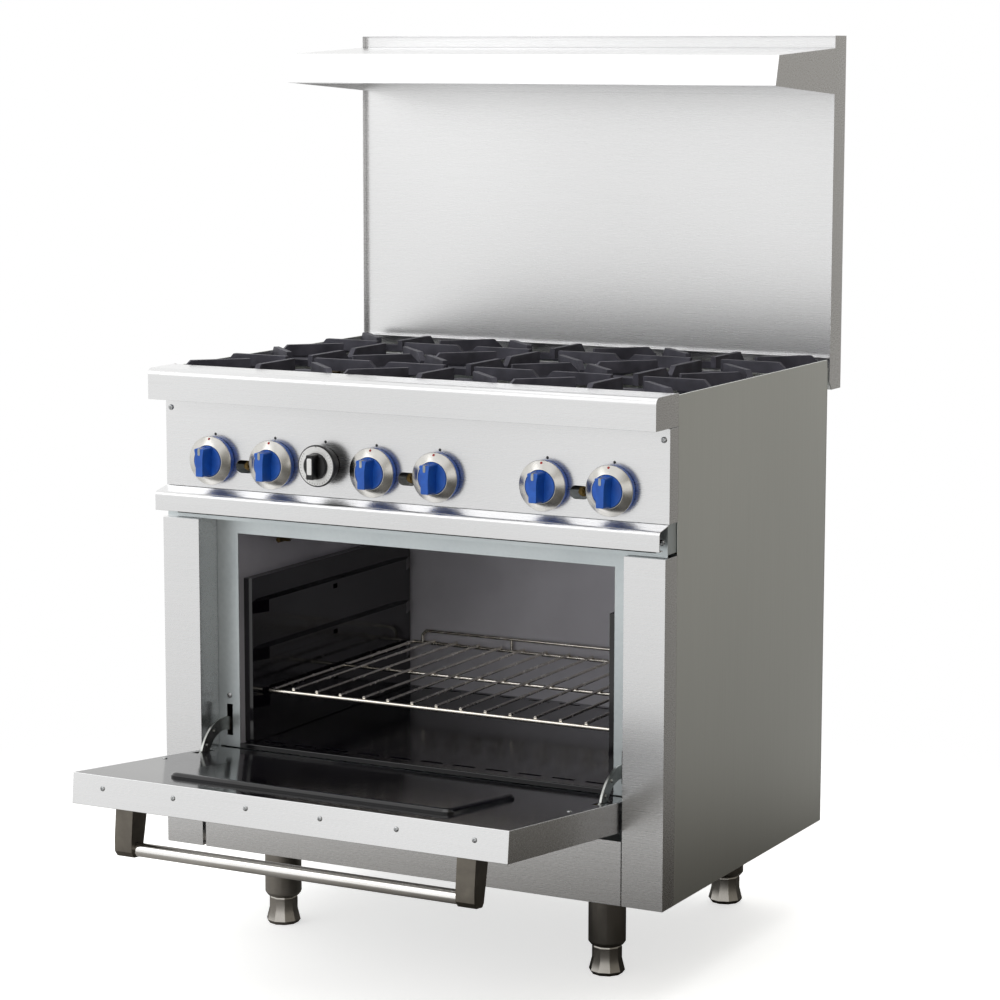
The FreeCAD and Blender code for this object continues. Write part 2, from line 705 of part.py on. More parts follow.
def door_liner():
    edge = door_half - sheet - 0.3
    low = door_low + sheet + 0.3
    high = door_top - sheet - 0.3
    pan = box(-edge, edge, 36.0, door_back, low, high)
    pan = pan.cut(box(-edge + 1.2, edge - 1.2, 30.0, door_back - 1.2, low + 1.2, high - 1.2))
    raised = box(-raised_half, raised_half, 50.0, door_back + 8.0, raised_low, raised_top)
    raised = raised.makeFillet(14.0, depth_edges(raised))
    raised = raised.makeChamfer(5.0, top_edges(raised))
    hollow = box(-raised_half + 6.0, raised_half - 6.0, 45.0, door_back + 6.8, raised_low + 6.0, raised_top - 6.0)
    pan = join([pan, raised]).cut(hollow)
    for slot in both_sides(box(hinge_x - 5.5, hinge_x + 5.5, 45, 60, 180, 232)):
        pan = pan.cut(slot)
    for s in (-1, 1):
        pan = pan.cut(rod((s * 370, pivot_y, pivot_z), (s * 390, pivot_y, pivot_z), 7.0))
    return pan


def depth_edges(solid):
    found = []
    for edge in solid.Edges:
        a, b = [v.Point for v in edge.Vertexes]
        if abs(a.x - b.x) < 1e-6 and abs(a.z - b.z) < 1e-6:
            found.append(edge)
    return found


def top_edges(solid):
    high = solid.BoundBox.YMax
    found = []
    for edge in solid.Edges:
        if all(abs(v.Point.y - high) < 1e-6 for v in edge.Vertexes):
            found.append(edge)
    return found


def door_insulation():
    return box(-355.0, 355.0, 6.0, 49.0, 115.0, 537.0)


def arc_point(radius, degrees):
    a = math.radians(degrees - door_open)
    return pivot_y + radius * math.cos(a), pivot_z + radius * math.sin(a)


def hinge_arm():
    x0 = hinge_x - 1.9
    x1 = hinge_x + 1.9
    points = [arc_point(arm_outer, a) for a in range(66, 166, 4)]
    points = points + [arc_point(arm_inner, a) for a in range(162, 62, -4)]
    arm = prism_x(points, x0, x1)
    heel = box(x0, x1, 20.0, 49.0, 128.0, 236.0)
    root = prism_x([(49.0, 178.0), (53.0, 182.0), (53.0, 214.0), (49.0, 218.0)], x0, x1)
    pin = rod((hinge_x, pivot_y, pivot_z), (390.0, pivot_y, pivot_z), 5.0)
    boss = rod((hinge_x, pivot_y, pivot_z), (378.0, pivot_y, pivot_z), 10.0)
    pieces = [arm, heel, root, pin, boss]
    for degrees in (118, 146):
        y, z = arc_point((arm_outer + arm_inner) / 2.0, degrees)
        pieces.append(rod((x0 - 2.0, y, z), (x1 + 2.0, y, z), 3.4))
    return join(pieces)


def hinge_arms():
    return both_sides(hinge_arm())


def handle_bracket():
    face = door_front
    out = face - bar_out - bar_r - 1.5
    pts = [(face, 480.0), (face, 520.0), (face - 50.0, 520.0), (out + 8.0, 518.0), (out, 510.0)]
    pts = pts + [(out, 492.0), (out + 6.0, 488.0), (face - 40.0, 484.0)]
    arm = prism_x(pts, 286.0, 318.0)
    y = face - bar_out
    return arm.cut(rod((280.0, y, bar_z), (306.0, y, bar_z), bar_r + 0.1))


def handle_bar():
    y = door_front - bar_out
    return rod((-305.8, y, bar_z), (305.8, y, bar_z), bar_r)


def dome(centre, axis, r, h):
    outline = [(0, 0), (r, 0), (r, 0.35 * h), (0.75 * r, 0.8 * h), (0.35 * r, h), (0, h)]
    return lathe(outline, centre, axis)


def door_screws():
    heads = []
    for x in (-327.0, -196.5, -65.5, 65.5, 196.5, 327.0):
        heads.append(dome((x, door_back - 20.0, door_top), (0, 0, 1), 4.5, 2.4))
    for s in (-1, 1):
        heads.append(dome((s * 366.0, door_back, 318.0), (0, 1, 0), 4.0, 1.6))
    return heads


# ---- small fittings ----

def panel_screws():
    heads = []
    for s in (-1, 1):
        heads.append(dome((s * 447.0, panel_y, 732.0), (0, -1, 0), 5.2, 2.8))
        heads.append(dome((s * hinge_x, frame_y, 248.0), (0, -1, 0), 5.2, 1.6))
        heads.append(dome((s * 445.5, 12.0, 575.0), (0, -1, 0), 4.0, 2.0))
    return heads


def turned(profile, x, z):
    """Profile of (radius, distance out from the control panel)."""
    return lathe(profile, (x, panel_y, z), (0, -1, 0))


def knob_bezel(x):
    cone = turned([(25.8, 12.8), (38.6, 12.8), (40, 13.4), (40, 14.8), (26.8, 22.0), (25.8, 21.6)], x, valve_z)
    web = turned([(3.9, 12.8), (26, 12.8), (26, 15.0), (3.9, 15.0)], x, valve_z)
    stem = rod((x, panel_y - 30.0, valve_z), (x, 57.0, valve_z), 4.0)
    return join([cone, web, stem])


def knob(x):
    z = valve_z
    skirt = [(4.3, 1.2), (37.4, 1.2), (38.4, 2.4), (38.4, 12.6), (35.4, 12.6), (35.4, 4.0), (4.3, 4.0)]
    disc = turned([(4.3, 15.2), (25.5, 15.2), (25.5, 21.6), (24.2, 23.2), (4.3, 23.2)], x, z)
    outline = [(-9.3, 24.0), (9.3, 24.0), (7.4, 2.0), (7.4, -24.0), (-7.4, -24.0), (-7.4, 2.0)]
    loop = [V(x + a, panel_y - 48.0, z + b) for a, b in outline]
    grip = Part.Face(Part.makePolygon(loop + [loop[0]])).extrude(V(0, 28.0, 0))
    grip = grip.common(turned([(0, 15.0), (24.4, 15.0), (24.4, 44.0), (22.6, 48.0), (0, 48.0)], x, z))
    body = join([disc, grip])
    body = body.cut(rod((x, panel_y, z), (x, panel_y - 30.4, z), 4.3))
    return [turned(skirt, x, z), body]


def thermostat_dial():
    x = thermostat_x
    outline = [(3.9, 2.0), (28, 2.0), (28, 20.0), (34, 21.4), (34, 25.6), (32.8, 27.4), (3.9, 27.4)]
    ring = turned(outline, x, thermostat_z)
    stem = rod((x, panel_y - 40.0, thermostat_z), (x, 57.0, thermostat_z), 4.0)
    return join([ring, stem])


def thermostat_knob():
    x = thermostat_x
    z = thermostat_z
    disc = turned([(4.3, 27.6), (21.8, 27.6), (21.8, 31.6), (20.6, 33.0), (4.3, 33.0)], x, z)
    grip = box(x - 6.6, x + 6.6, panel_y - 48.0, panel_y - 31.0, z - 20.0, z + 20.0)
    grip = grip.common(turned([(0, 28.0), (20.4, 28.0), (20.4, 45.0), (19.0, 48.0), (0, 48.0)], x, z))
    body = join([disc, grip])
    return body.cut(rod((x, panel_y, z), (x, panel_y - 40.4, z), 4.3))


def tray_lip_profile(inset):
    """Y-Z outline of the tray's front: upright lip, rounded top edge, slope up to the panel."""
    r = tray_lip_r - inset
    y0 = tray_lip_y + inset
    top = tray_lip_top - inset
    points = [(y0, tray_low)]
    for k in range(7):
        a = math.radians(15.0 * k)
        points.append((y0 + r - r * math.cos(a), top - r + r * math.sin(a)))
    points.append((11.0, tray_lip_top + 5.4 - inset))
    return points


def crumb_tray():
    outer = tray_lip_profile(0.0)
    inner = tray_lip_profile(sheet)
    front_skin = prism_x(outer + inner[::-1], -half_w, half_w)
    foot_strip = box(-half_w, half_w, tray_lip_y, tray_lip_y + 12.0, tray_low, tray_low + sheet)
    floor = box(-tray_half, tray_half, 8.0, tray_back, 564.0, 565.5)
    bridge = box(-tray_half, tray_half, tray_lip_y + 11.0, 9.0, 565.0, 566.5)
    sides = both_sides(box(tray_half - sheet, tray_half, 14.0, tray_back, 564.0, 590.0))
    back = box(-tray_half, tray_half, tray_back - sheet, tray_back, 564.0, 590.0)
    front = box(-tray_half, tray_half, 14.0, 15.5, 564.0, 590.0)
    return join([front_skin, foot_strip, floor, bridge, back, front] + sides)


def build_all():
    keep("side_panel_right", side_panel())
    keep("side_panel_left", mirror_x(side_panel()))
    keep("back_panel", back_panel())
    keep("base_frame", base_frame())
    keep("front_post_right", front_post())
    keep("front_post_left", mirror_x(front_post()))
    keep("kick_panel", kick_panel())
    keep("front_rail", front_rail())
    keep("control_panel", control_panel())
    keep("tray_frame", tray_frame())
    keep("oven_front_frame", oven_front_frame())
    keep("oven_liner", oven_liner())
    keep("oven_floor", oven_floor())
    keep("rack_guides", both_sides(side_guide()))
    keep("insulation", insulation())
    keep("oven_burner", oven_burner())
    keep("oven_rack", oven_rack())
    keep("gas_manifold", gas_manifold())
    keep("burner_valves", burner_valves())
    keep("top_burners", top_burners())
    keep("gas_tubing", gas_tubing())
    keep("flue_duct", flue_duct())
    keep("grate_rails", grate_rails())
    keep("riser_shell", riser_shell())
    keep("riser_front", riser_front())
    keep("shelf", shelf())
    keep("legs", [leg(x, y) for x, y in leg_spots()])
    keep("panel_screws", panel_screws())
    keep("crumb_tray", crumb_tray())
    for number, (x, y) in enumerate(leg_spots(), 1):
        keep("foot_" + str(number), foot(x, y))
    number = 1
    for y in row_y:
        for x in column_x:
            keep("grate_" + str(number), grate(x, y))
            number = number + 1
    for number, x in enumerate(valve_spots(), 1):
        keep("knob_" + str(number), knob(x))
        keep("knob_bezel_" + str(number), knob_bezel(x))
    keep("thermostat_knob", thermostat_knob())
    keep("thermostat_dial", thermostat_dial())
    keep("door_outer", opened(door_outer()))
    keep("door_liner", opened(door_liner()))
    keep("door_insulation", opened(door_insulation()))
    keep("handle_bar", opened(handle_bar()))
    keep("handle_brackets", [opened(s) for s in both_sides(handle_bracket())])
    keep("hinge_arms", [opened(s) for s in hinge_arms()])
    keep("door_screws", [opened(s) for s in door_screws()])


build_all()
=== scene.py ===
import json
import math

import bmesh
import bpy
from mathutils import Euler, Matrix, Vector


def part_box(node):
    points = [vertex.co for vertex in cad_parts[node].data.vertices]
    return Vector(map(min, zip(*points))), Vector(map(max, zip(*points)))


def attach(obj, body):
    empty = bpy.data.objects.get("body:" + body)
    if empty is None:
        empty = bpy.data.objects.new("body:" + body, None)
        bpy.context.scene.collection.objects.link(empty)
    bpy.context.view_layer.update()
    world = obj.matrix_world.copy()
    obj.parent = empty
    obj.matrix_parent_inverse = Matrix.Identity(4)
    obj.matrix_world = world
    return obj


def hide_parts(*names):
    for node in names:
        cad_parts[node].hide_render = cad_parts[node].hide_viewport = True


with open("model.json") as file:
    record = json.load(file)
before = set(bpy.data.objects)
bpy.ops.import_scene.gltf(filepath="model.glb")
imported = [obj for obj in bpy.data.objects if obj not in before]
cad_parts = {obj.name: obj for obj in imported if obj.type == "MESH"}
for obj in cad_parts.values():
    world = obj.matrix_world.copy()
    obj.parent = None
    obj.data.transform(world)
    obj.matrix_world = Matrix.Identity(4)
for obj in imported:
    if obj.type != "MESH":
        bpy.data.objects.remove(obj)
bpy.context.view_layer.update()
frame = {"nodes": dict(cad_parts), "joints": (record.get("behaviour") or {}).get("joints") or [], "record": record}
nodes = frame["nodes"]
mm = 0.001

print("frame loaded:", len(nodes), "nodes")


# colours and node helper

def linear(hexColour):
    parts = [int(hexColour[i:i + 2], 16) / 255 for i in (1, 3, 5)]
    return tuple(c / 12.92 if c <= 0.04045 else ((c + 0.055) / 1.055) ** 2.4 for c in parts) + (1.0,)


def addNode(tree, kind, settings=None, links=None):
    # settings: socket name or number, or a property of the node; links: socket -> source socket
    node = tree.nodes.new(kind)
    for key, value in (settings or {}).items():
        if isinstance(key, int) or key in node.inputs:
            node.inputs[key].default_value = value
        else:
            setattr(node, key, value)
    for key, source in (links or {}).items():
        tree.links.new(source, node.inputs[key])
    return node


def newMaterial(name):
    material = bpy.data.materials.new(name)
    material.use_nodes = True
    tree = material.node_tree
    tree.nodes.clear()
    output = tree.nodes.new("ShaderNodeOutputMaterial")
    shader = tree.nodes.new("ShaderNodeBsdfPrincipled")
    tree.links.new(shader.outputs["BSDF"], output.inputs["Surface"])
    coords = tree.nodes.new("ShaderNodeTexCoord")
    return material, tree, shader, coords.outputs["Object"]


def colourSteps(tree, factor, steps):
    ramp = addNode(tree, "ShaderNodeValToRGB", links={"Fac": factor})
    elements = ramp.color_ramp.elements
    while len(elements) < len(steps):
        elements.new(0.5)
    for element, (place, colour) in zip(elements, steps):
        element.position = place
        element.color = linear(colour)
    return ramp.outputs["Color"]


# sheet metals

def brushedStainless(name, light, dark, roughness, grain):
    # rolled and belt-brushed sheet: fine parallel lines that stretch every highlight, and
    # slow cloudy changes of tone over about 0.6 m. grain gives the lines per metre on X, Y and Z:
    # 500 and 900 are lines 2 mm and 1.1 mm apart, coarser than real so that they show
    material, tree, shader, where = newMaterial(name)
    lineMap = addNode(tree, "ShaderNodeMapping", {"Scale": grain}, {"Vector": where})
    lines = addNode(tree, "ShaderNodeTexNoise", {"Scale": 1.0, "Detail": 4.0, "Roughness": 0.7},
                    {"Vector": lineMap.outputs["Vector"]})
    clouds = addNode(tree, "ShaderNodeTexNoise", {"Scale": 1.6, "Detail": 1.0}, {"Vector": where})
    slow = addNode(tree, "ShaderNodeMath", {"operation": "MULTIPLY", 1: 0.6}, {0: clouds.outputs["Fac"]})
    tone = addNode(tree, "ShaderNodeMath", {"operation": "MULTIPLY_ADD", 1: 0.4},
                   {0: lines.outputs["Fac"], 2: slow.outputs[0]})
    colour = colourSteps(tree, tone.outputs[0], [(0.36, dark), (0.64, light)])
    tree.links.new(colour, shader.inputs["Base Color"])
    rough = addNode(tree, "ShaderNodeMapRange", {"To Min": roughness - 0.02, "To Max": roughness + 0.03},
                    {"Value": lines.outputs["Fac"]})
    tree.links.new(rough.outputs["Result"], shader.inputs["Roughness"])
    bump = addNode(tree, "ShaderNodeBump", {"Strength": 0.025, "Distance": 0.0002},
                   {"Height": lines.outputs["Fac"]})
    tree.links.new(bump.outputs["Normal"], shader.inputs["Normal"])
    shader.inputs["Metallic"].default_value = 1.0
    return material


def spunSteel(name, light, dark, roughness):
    # lathe-turned cone: rings too fine to see, which pull each highlight into a spoke from the
    # centre. "around" on the mesh holds the direction of the rings; tone varies over about 14 mm
    material, tree, shader, where = newMaterial(name)
    mottle = addNode(tree, "ShaderNodeTexNoise", {"Scale": 70.0, "Detail": 1.0}, {"Vector": where})
    colour = colourSteps(tree, mottle.outputs["Fac"], [(0.35, dark), (0.65, light)])
    tree.links.new(colour, shader.inputs["Base Color"])
    rough = addNode(tree, "ShaderNodeMapRange", {"To Min": roughness - 0.03, "To Max": roughness + 0.04},
                    {"Value": mottle.outputs["Fac"]})
    tree.links.new(rough.outputs["Result"], shader.inputs["Roughness"])
    around = addNode(tree, "ShaderNodeAttribute", {"attribute_name": "around"})
    tree.links.new(around.outputs["Vector"], shader.inputs["Tangent"])
    shader.inputs["Anisotropic"].default_value = 0.85
    shader.inputs["Metallic"].default_value = 1.0
    return material


def galvanisedSteel(name):
    # hot-dip zinc coat: cool blue-grey crystals about 9 mm wide (110 per metre) under a satin skin
    material, tree, shader, where = newMaterial(name)
    crystals = addNode(tree, "ShaderNodeTexVoronoi", {"Scale": 110.0}, {"Vector": where})
    soft = addNode(tree, "ShaderNodeTexNoise", {"Scale": 9.0, "Detail": 3.0}, {"Vector": where})
    mixed = addNode(tree, "ShaderNodeMath", {"operation": "MULTIPLY_ADD", 1: 0.35},
                    {0: crystals.outputs["Distance"], 2: soft.outputs["Fac"]})
    colour = colourSteps(tree, mixed.outputs[0], [(0.3, "#C6CED1"), (0.9, "#D6DDDF")])
    tree.links.new(colour, shader.inputs["Base Color"])
    rough = addNode(tree, "ShaderNodeMapRange", {"To Min": 0.36, "To Max": 0.46},
                    {"Value": crystals.outputs["Distance"]})
    tree.links.new(rough.outputs["Result"], shader.inputs["Roughness"])
    shader.inputs["Metallic"].default_value = 0.85
    return material


# enamels, castings, plastics

def fusedEnamel(name, light, dark, roughness, ripple, gloss=1.52, metallic=0.0):
    # glass fired on sheet steel: an even skin with soft waviness (orange peel, 6 mm from crest to
    # crest) in the reflections
    material, tree, shader, where = newMaterial(name)
    haze = addNode(tree, "ShaderNodeTexNoise", {"Scale": 6.0, "Detail": 3.0}, {"Vector": where})
    colour = colourSteps(tree, haze.outputs["Fac"], [(0.35, dark), (0.7, light)])
    tree.links.new(colour, shader.inputs["Base Color"])
    peel = addNode(tree, "ShaderNodeTexNoise", {"Scale": 160.0, "Detail": 1.0}, {"Vector": where})
    bump = addNode(tree, "ShaderNodeBump", {"Strength": ripple, "Distance": 0.0004},
                   {"Height": peel.outputs["Fac"]})
    tree.links.new(bump.outputs["Normal"], shader.inputs["Normal"])
    rough = addNode(tree, "ShaderNodeMapRange", {"To Min": roughness, "To Max": roughness + 0.12},
                    {"Value": haze.outputs["Fac"]})
    tree.links.new(rough.outputs["Result"], shader.inputs["Roughness"])
    shader.inputs["IOR"].default_value = gloss
    shader.inputs["Metallic"].default_value = metallic
    return material


def sandCastIron(name):
    # seasoned sand casting: slate grey, grains of 1.6 mm and finer, patches of 40 mm, a faint sheen
    material, tree, shader, where = newMaterial(name)
    skin = addNode(tree, "ShaderNodeTexNoise", {"Scale": 620.0, "Detail": 5.0, "Roughness": 0.7},
                   {"Vector": where})
    patches = addNode(tree, "ShaderNodeTexNoise", {"Scale": 24.0, "Detail": 4.0}, {"Vector": where})
    colour = colourSteps(tree, patches.outputs["Fac"], [(0.3, "#3A3942"), (0.5, "#4B4A54"), (0.72, "#5C5B66")])
    tree.links.new(colour, shader.inputs["Base Color"])
    bump = addNode(tree, "ShaderNodeBump", {"Strength": 0.45, "Distance": 0.0006},
                   {"Height": skin.outputs["Fac"]})
    tree.links.new(bump.outputs["Normal"], shader.inputs["Normal"])
    rough = addNode(tree, "ShaderNodeMapRange", {"To Min": 0.5, "To Max": 0.72},
                    {"Value": patches.outputs["Fac"]})
    tree.links.new(rough.outputs["Result"], shader.inputs["Roughness"])
    shader.inputs["Metallic"].default_value = 0.25
    return material


def mouldedPlastic(name, light, dark, roughness):
    # injection-moulded phenolic: solid colour, fine even spark texture about 0.4 mm
    material, tree, shader, where = newMaterial(name)
    flow = addNode(tree, "ShaderNodeTexNoise", {"Scale": 45.0, "Detail": 2.0}, {"Vector": where})
    colour = colourSteps(tree, flow.outputs["Fac"], [(0.35, dark), (0.68, light)])
    tree.links.new(colour, shader.inputs["Base Color"])
    spark = addNode(tree, "ShaderNodeTexNoise", {"Scale": 2400.0, "Detail": 2.0}, {"Vector": where})
    bump = addNode(tree, "ShaderNodeBump", {"Strength": 0.12, "Distance": 0.0002},
                   {"Height": spark.outputs["Fac"]})
    tree.links.new(bump.outputs["Normal"], shader.inputs["Normal"])
    rough = addNode(tree, "ShaderNodeMapRange", {"To Min": roughness, "To Max": roughness + 0.1},
                    {"Value": flow.outputs["Fac"]})
    tree.links.new(rough.outputs["Result"], shader.inputs["Roughness"])
    shader.inputs["IOR"].default_value = 1.5
    return material


def turnedMetal(name, light, dark, roughness, scale, metallic=1.0):
    # machined, drawn or plated metal: bright with faint mottling, scale spots to the metre
    material, tree, shader, where = newMaterial(name)
    mottle = addNode(tree, "ShaderNodeTexNoise", {"Scale": scale, "Detail": 3.0}, {"Vector": where})
    colour = colourSteps(tree, mottle.outputs["Fac"], [(0.35, dark), (0.65, light)])
    tree.links.new(colour, shader.inputs["Base Color"])
    rough = addNode(tree, "ShaderNodeMapRange", {"To Min": roughness - 0.04, "To Max": roughness + 0.08},
                    {"Value": mottle.outputs["Fac"]})
    tree.links.new(rough.outputs["Result"], shader.inputs["Roughness"])
    shader.inputs["Metallic"].default_value = metallic
    return material


def mineralWool(name):
    # pressed fibre blanket: pale yellow-brown, matt, with tangled strands about 4 mm apart
    material, tree, shader, where = newMaterial(name)
    strands = addNode(tree, "ShaderNodeTexNoise", {"Scale": 260.0, "Detail": 6.0, "Distortion": 1.5},
                      {"Vector": where})
    colour = colourSteps(tree, strands.outputs["Fac"], [(0.3, "#8C7A4E"), (0.7, "#CDBB87")])
    tree.links.new(colour, shader.inputs["Base Color"])
    bump = addNode(tree, "ShaderNodeBump", {"Strength": 0.8, "Distance": 0.002},
                   {"Height": strands.outputs["Fac"]})
    tree.links.new(bump.outputs["Normal"], shader.inputs["Normal"])
    shader.inputs["Roughness"].default_value = 0.95
    return material


finish = {
    "stainless": brushedStainless("brushed stainless front", light="#E9E9EA", dark="#E0E0E1",
                                  roughness=0.27, grain=(6, 500, 900)),
    "side_steel": brushedStainless("brushed stainless side", light="#EAECE8", dark="#DEE0DC",
                                   roughness=0.34, grain=(500, 900, 6)),
    "galvanised": galvanisedSteel("galvanised steel"),
    "black_enamel": fusedEnamel("black porcelain enamel", light="#0D0B12", dark="#060509", roughness=0.06,
                                ripple=0.10, gloss=1.6),
    "liner_enamel": fusedEnamel("aluminised steel liner", light="#E4E2EA", dark="#D0CED6", roughness=0.38,
                                ripple=0.1, gloss=1.5, metallic=0.25),
    "chrome_wire": turnedMetal("nickel chrome wire", light="#F8F3EA", dark="#E4DED4", roughness=0.24, scale=60),
    "mineral_wool": mineralWool("mineral wool blanket"),
    "cast_iron": sandCastIron("seasoned cast iron"),
    "black_pipe": turnedMetal("black iron pipe", light="#2A2A2C", dark="#1B1B1D", roughness=0.5, scale=90,
                              metallic=0.6),
    # brass colour darkened: painted shade for the dark pilot slots where the brass parts show
    "brass": turnedMetal("turned brass darkened as painted shade", light="#6F5C38", dark="#574729", roughness=0.4, scale=120),
    "polished_steel": turnedMetal("polished stainless", light="#C0BCB6", dark="#A8A49E", roughness=0.15,
                                  scale=14),
    # the handle bar's copy of the legs' polished steel, painted far lighter to stand in for its highlights
    "polished_bar_painted_light": turnedMetal("polished stainless bar painted lighter", light="#FBFAF8", dark="#EFEDEA", roughness=0.12,
                              scale=14),
    "cast_handle": turnedMetal("satin cast zinc", light="#7A756C", dark="#6B665F", roughness=0.34, scale=40),
    "hinge_steel": turnedMetal("zinc plated steel", light="#B9BBB8", dark="#9C9E9B", roughness=0.28, scale=80),
    "screw_steel": turnedMetal("zinc plated screw", light="#C9CACB", dark="#9FA1A3", roughness=0.25, scale=400),
    "blue_plastic": mouldedPlastic("blue phenolic", light="#216AD6", dark="#1959BC", roughness=0.3),
    "satin_bezel": spunSteel("spun satin steel", light="#D6D4D0", dark="#CCCAC5", roughness=0.19),
    "black_plastic": mouldedPlastic("black phenolic", light="#151516", dark="#0B0B0C", roughness=0.28),
    "dial_ring": turnedMetal("anodised silver ring", light="#F4F4F3", dark="#E8E8E7", roughness=0.4, scale=60,
                             metallic=0.3),
}
redPaint = mouldedPlastic("red marking paint", light="#C22A22", dark="#A8201A", roughness=0.4)
blackPaint = mouldedPlastic("black marking paint", light="#1B1B1C", dark="#101011", roughness=0.45)

slotOf = {s["node"]: s["material_slot"] for s in frame["record"]["subparts"]}
for name, node in nodes.items():
    node.data.materials.clear()
    node.data.materials.append(finish[slotOf[name]])
print("finishes assigned")


# mesh helpers

def meshObject(name, mesh, material, body):
    piece = bpy.data.objects.new(name, mesh)
    bpy.context.collection.objects.link(piece)
    piece.data.materials.clear()
    piece.data.materials.append(material)
    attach(piece, body)
    return piece


sharpFrom = 30          # degrees: edges sharper than this are rounded
turnedSides = 96        # facets round a turned piece


def roundedMesh(mesh, width):
    # rounds the edges and keeps the flat faces flat: each normal follows its largest face
    temp = bpy.data.objects.new("temp", mesh)
    bpy.context.collection.objects.link(temp)
    if width > 0:
        bevel = temp.modifiers.new("edges", "BEVEL")
        bevel.width = width
        bevel.segments = 2
        bevel.limit_method = "ANGLE"
        bevel.angle_limit = math.radians(sharpFrom)
    weighted = temp.modifiers.new("normals", "WEIGHTED_NORMAL")
    weighted.mode = "FACE_AREA"
    weighted.keep_sharp = True
    bpy.context.view_layer.update()
    solid = bpy.data.meshes.new_from_object(temp.evaluated_get(bpy.context.evaluated_depsgraph_get()))
    bpy.data.objects.remove(temp)
    return solid


def crowned(work, up, width):
    # a pressed panel's top edges are rounder than the rest
    top = max(v.co.dot(up) for v in work.verts)
    edges = [e for e in work.edges if all(v.co.dot(up) > top - 0.0002 for v in e.verts)]
    bmesh.ops.bevel(work, geom=edges, offset=width, segments=4, profile=0.5, affect="EDGES")


def softened(nodeName, width, crown=None):
    # a cast or folded piece has no knife edges: merge the part's mesh and round its edges
    work = bmesh.new()
    work.from_mesh(nodes[nodeName].data)
    bmesh.ops.remove_doubles(work, verts=work.verts, dist=0.00002)
    bmesh.ops.dissolve_limit(work, angle_limit=math.radians(1.0), verts=work.verts, edges=work.edges)
    if crown:
        crowned(work, *crown)
    for face in work.faces:
        face.smooth = True
    mesh = bpy.data.meshes.new(nodeName + "_soft")
    work.to_mesh(mesh)
    work.free()
    return roundedMesh(mesh, width)


def smoothByAngle(mesh, degrees):
    work = bmesh.new()
    work.from_mesh(mesh)
    for face in work.faces:
        face.smooth = True
    for edge in work.edges:
        edge.smooth = len(edge.link_faces) == 2 and edge.calc_face_angle(0.0) < math.radians(degrees)
    work.to_mesh(mesh)
    work.free()


def spun(profile, centre, sides=turnedSides):
    # closed profile of (radius, depth towards the cook) spun about an axis along -Y
    work = bmesh.new()
    rings = []
    for k in range(sides):
        turn = 2 * math.pi * k / sides
        ring = []
        for radius, out in profile:
            place = Vector((radius * math.cos(turn), -out, radius * math.sin(turn))) * mm
            ring.append(work.verts.new(Vector(centre) + place))
        rings.append(ring)
    count = len(profile)
    for k in range(sides):
        a, b = rings[k], rings[(k + 1) % sides]
        for j in range(count):
            n = (j + 1) % count
            work.faces.new((a[j], a[n], b[n], b[j]))
    bmesh.ops.remove_doubles(work, verts=work.verts, dist=1e-6)
    bmesh.ops.recalc_face_normals(work, faces=work.faces)
    return work


# geometry nodes: one shape put on many points

def pointsMesh(name, places, normals, turns):
    # one vertex for each piece; "facing" says where it points and "turn" how far it is turned
    mesh = bpy.data.meshes.new(name)
    mesh.from_pydata([tuple(p) for p in places], [], [])
    facing = mesh.attributes.new("facing", "FLOAT_VECTOR", "POINT")
    for k, normal in enumerate(normals):
        facing.data[k].vector = normal
    turning = mesh.attributes.new("turn", "FLOAT", "POINT")
    for k in range(len(places)):
        turning.data[k].value = turns[k] if turns else 0.0
    return mesh


def repeatTree(name, shapeObject, material, seed):
    tree = bpy.data.node_groups.new(name, "GeometryNodeTree")
    sockets = tree.interface
    sockets.new_socket("Geometry", in_out="INPUT", socket_type="NodeSocketGeometry")
    size = sockets.new_socket("Piece size", in_out="INPUT", socket_type="NodeSocketFloat")
    spread = sockets.new_socket("Turn spread", in_out="INPUT", socket_type="NodeSocketFloat")
    sockets.new_socket("Geometry", in_out="OUTPUT", socket_type="NodeSocketGeometry")
    entry = tree.nodes.new("NodeGroupInput")
    final = tree.nodes.new("NodeGroupOutput")
    facing = addNode(tree, "GeometryNodeInputNamedAttribute", {"data_type": "FLOAT_VECTOR", 0: "facing"})
    aim = addNode(tree, "FunctionNodeAlignEulerToVector", {"axis": "Z"},
                  {"Vector": facing.outputs[0]})
    chance = addNode(tree, "FunctionNodeRandomValue",
                     {"data_type": "FLOAT", 2: -1.0, 3: 1.0, "Seed": seed})
    turning = addNode(tree, "GeometryNodeInputNamedAttribute", {"data_type": "FLOAT", 0: "turn"})
    angle = addNode(tree, "ShaderNodeMath", {"operation": "MULTIPLY_ADD"},
                    {0: chance.outputs[1], 1: entry.outputs["Turn spread"], 2: turning.outputs[0]})
    spin = addNode(tree, "FunctionNodeAxisAngleToRotation", {"Axis": (0, 0, 1)},
                   {"Angle": angle.outputs[0]})
    both = addNode(tree, "FunctionNodeRotateRotation", {"rotation_space": "LOCAL"},
                   {"Rotation": aim.outputs[0], "Rotate By": spin.outputs[0]})
    shape = addNode(tree, "GeometryNodeObjectInfo", {"Object": shapeObject})
    copies = addNode(tree, "GeometryNodeInstanceOnPoints", None,
                     {"Points": entry.outputs["Geometry"], "Instance": shape.outputs["Geometry"],
                      "Rotation": both.outputs[0], "Scale": entry.outputs["Piece size"]})
    real = addNode(tree, "GeometryNodeRealizeInstances", None, {0: copies.outputs[0]})
    dressed = addNode(tree, "GeometryNodeSetMaterial", {"Material": material}, {0: real.outputs[0]})
    tree.links.new(dressed.outputs[0], final.inputs[0])
    return tree, size.identifier, spread.identifier


